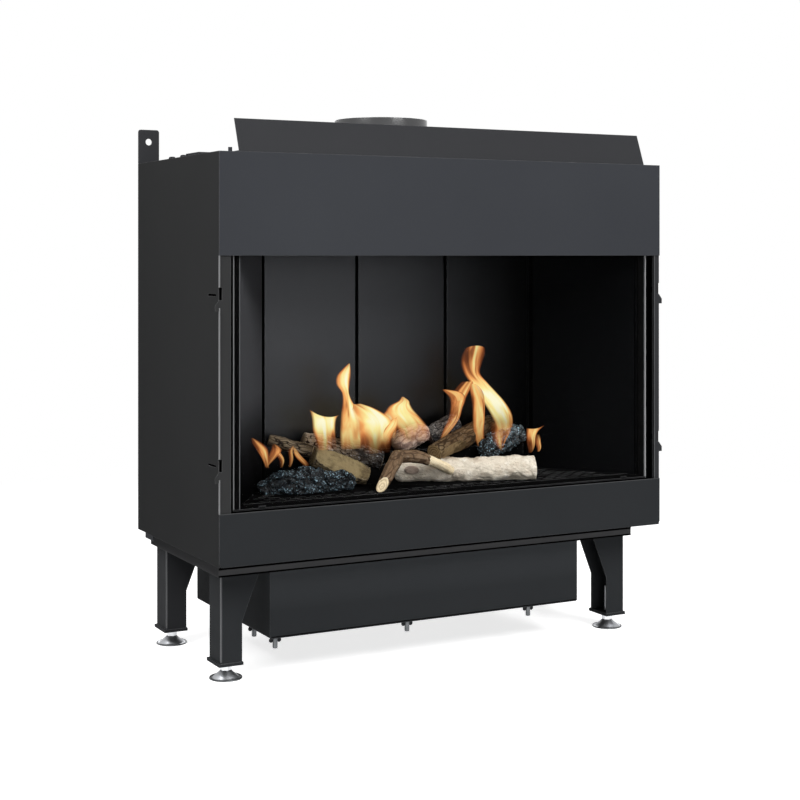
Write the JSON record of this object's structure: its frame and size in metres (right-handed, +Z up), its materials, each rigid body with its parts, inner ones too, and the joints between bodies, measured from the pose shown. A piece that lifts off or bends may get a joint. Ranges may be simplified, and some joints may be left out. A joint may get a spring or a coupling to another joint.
{
  "type": "gas fireplace",
  "caption": "Built-in gas fireplace: black folded steel casing on levelling legs, glazed fire chamber with a log set, hinged relief flaps, flue collar and a gas box below.",
  "frame": {"origin": "on the floor under the middle of the casing", "axes": "X along the front from left to right, +Y from the front to the back, +Z up"},
  "size_m": [1.015, 0.465, 1.097],
  "materials": {
    "casing_steel": "satin black powder coat",
    "frame_steel": "satin black powder coat, a little coarser",
    "flue_steel": "dark, semi-gloss stove paint",
    "chamber_steel": "matte black stove paint",
    "liner_board": "matte dark grey, slightly brushed",
    "zinc_steel": "zinc plated",
    "chrome": "bright plated, lightly scuffed",
    "cast_iron": "matte black",
    "nut_iron": "blackened, satin",
    "flame": "glowing gas flame, light only",
    "clear_glass": "clear ceramic glass",
    "rope_seal": "black woven rope",
    "knob_plastic": "matte black",
    "brass": "dull",
    "charred_log": "charred, blue-black, cracked",
    "ash_log": "pale ash grey, cracked",
    "bark_log": "brown bark, charred in patches"
  },
  "bodies": {
    "casing": {"ash_log": "ash_log", "back_liner_centre": "liner_board", "back_liner_left": "liner_board", "back_liner_right": "liner_board", "back_panel": "casing_steel", "base_frame": "frame_steel", "bottom_pan": "casing_steel", "brown_log": "bark_log", "burner_box": "cast_iron", "burner_tray": "cast_iron", "chamber_front_rail": "cast_iron", "char_log_left": "charred_log", "char_log_right": "charred_log", "charred_log": "bark_log", "exhaust_hood": "zinc_steel", "firebox_front": "chamber_steel", "firebox_shell": "chamber_steel", "flue_collar": "flue_steel", "flue_inner_pipe": "zinc_steel", "forked_branch": "bark_log", "front_left_leg": "frame_steel", "front_right_leg": "frame_steel", "gas_box": "frame_steel", "gas_inlet_pipe": "brass", "gas_valve": "zinc_steel", "glass_gasket": "rope_seal", "grey_log": "ash_log", "heat_deflector": "frame_steel", "left_side_panel": "casing_steel", "left_wall_bracket": "frame_steel", "lower_fascia": "casing_steel", "pilot_assembly": "zinc_steel", "pink_ash_log": "ash_log", "rear_burner": "cast_iron", "rear_left_leg": "frame_steel", "rear_right_leg": "frame_steel", "right_side_panel": "casing_steel", "right_wall_bracket": "frame_steel", "side_liner_left": "liner_board", "side_liner_right": "liner_board", "split_log": "bark_log", "thin_log": "bark_log", "top_panel": "casing_steel", "upper_fascia": "casing_steel"},
    "glass_front": {"glass_pane": "clear_glass", "glass_bottom_rail": "frame_steel"},
    "left_flap": {"left_relief_flap": "frame_steel"},
    "right_flap": {"right_relief_flap": "frame_steel"},
    "front_left_leveller": {"front_left_foot": "chrome"},
    "front_right_leveller": {"front_right_foot": "chrome"},
    "rear_left_leveller": {"rear_left_foot": "chrome"},
    "rear_right_leveller": {"rear_right_foot": "chrome"},
    "service_lid": {"gas_box_lid": "frame_steel"},
    "nut_1": {"wing_nut_1": "nut_iron"},
    "nut_2": {"wing_nut_2": "nut_iron"},
    "nut_3": {"wing_nut_3": "nut_iron"},
    "nut_4": {"wing_nut_4": "nut_iron"},
    "nut_5": {"wing_nut_5": "nut_iron"},
    "nut_6": {"wing_nut_6": "nut_iron"},
    "knob": {"valve_knob": "knob_plastic"}
  },
  "joints": [
    {"name": "glass_swing", "type": "hinge", "parent": "casing", "child": "glass_front", "pos_m": [0, -0.2205, 0.822], "axis": [-1, 0, 0], "range_deg": [0, 20]},
    {"name": "left_flap_hinge", "type": "hinge", "parent": "casing", "child": "left_flap", "pos_m": [-0.32, -0.07, 1.004], "axis": [-1, 0, 0], "range_deg": [0, 60]},
    {"name": "right_flap_hinge", "type": "hinge", "parent": "casing", "child": "right_flap", "pos_m": [0.32, -0.07, 1.004], "axis": [-1, 0, 0], "range_deg": [0, 60]},
    {"name": "front_left_height", "type": "slide", "parent": "casing", "child": "front_left_leveller", "axis": [0, 0, -1], "range_m": [0, 0.025]},
    {"name": "front_right_height", "type": "slide", "parent": "casing", "child": "front_right_leveller", "axis": [0, 0, -1], "range_m": [0, 0.025]},
    {"name": "rear_left_height", "type": "slide", "parent": "casing", "child": "rear_left_leveller", "axis": [0, 0, -1], "range_m": [0, 0.025]},
    {"name": "rear_right_height", "type": "slide", "parent": "casing", "child": "rear_right_leveller", "axis": [0, 0, -1], "range_m": [0, 0.025]},
    {"name": "lid_drop", "type": "slide", "parent": "casing", "child": "service_lid", "axis": [0, 0, -1], "range_m": [0, 0.045]},
    {"name": "nut_1_turn", "type": "hinge", "parent": "service_lid", "child": "nut_1", "pos_m": [-0.355, -0.1525, 0.065], "axis": [0, 0, 1], "continuous": true},
    {"name": "nut_2_turn", "type": "hinge", "parent": "service_lid", "child": "nut_2", "pos_m": [-0.06801, -0.1525, 0.065], "axis": [0, 0, 1], "continuous": true},
    {"name": "nut_3_turn", "type": "hinge", "parent": "service_lid", "child": "nut_3", "pos_m": [0.21898, -0.1525, 0.065], "axis": [0, 0, 1], "continuous": true},
    {"name": "nut_4_turn", "type": "hinge", "parent": "service_lid", "child": "nut_4", "pos_m": [-0.355, -0.0485, 0.065], "axis": [0, 0, 1], "continuous": true},
    {"name": "nut_5_turn", "type": "hinge", "parent": "service_lid", "child": "nut_5", "pos_m": [-0.06801, -0.0485, 0.065], "axis": [0, 0, 1], "continuous": true},
    {"name": "nut_6_turn", "type": "hinge", "parent": "service_lid", "child": "nut_6", "pos_m": [0.21898, -0.0485, 0.065], "axis": [0, 0, 1], "continuous": true},
    {"name": "knob_turn", "type": "hinge", "parent": "casing", "child": "knob", "pos_m": [-0.21112, -0.0945, 0.095], "axis": [0, 0, -1], "range_deg": [0, 270]}
  ]
}
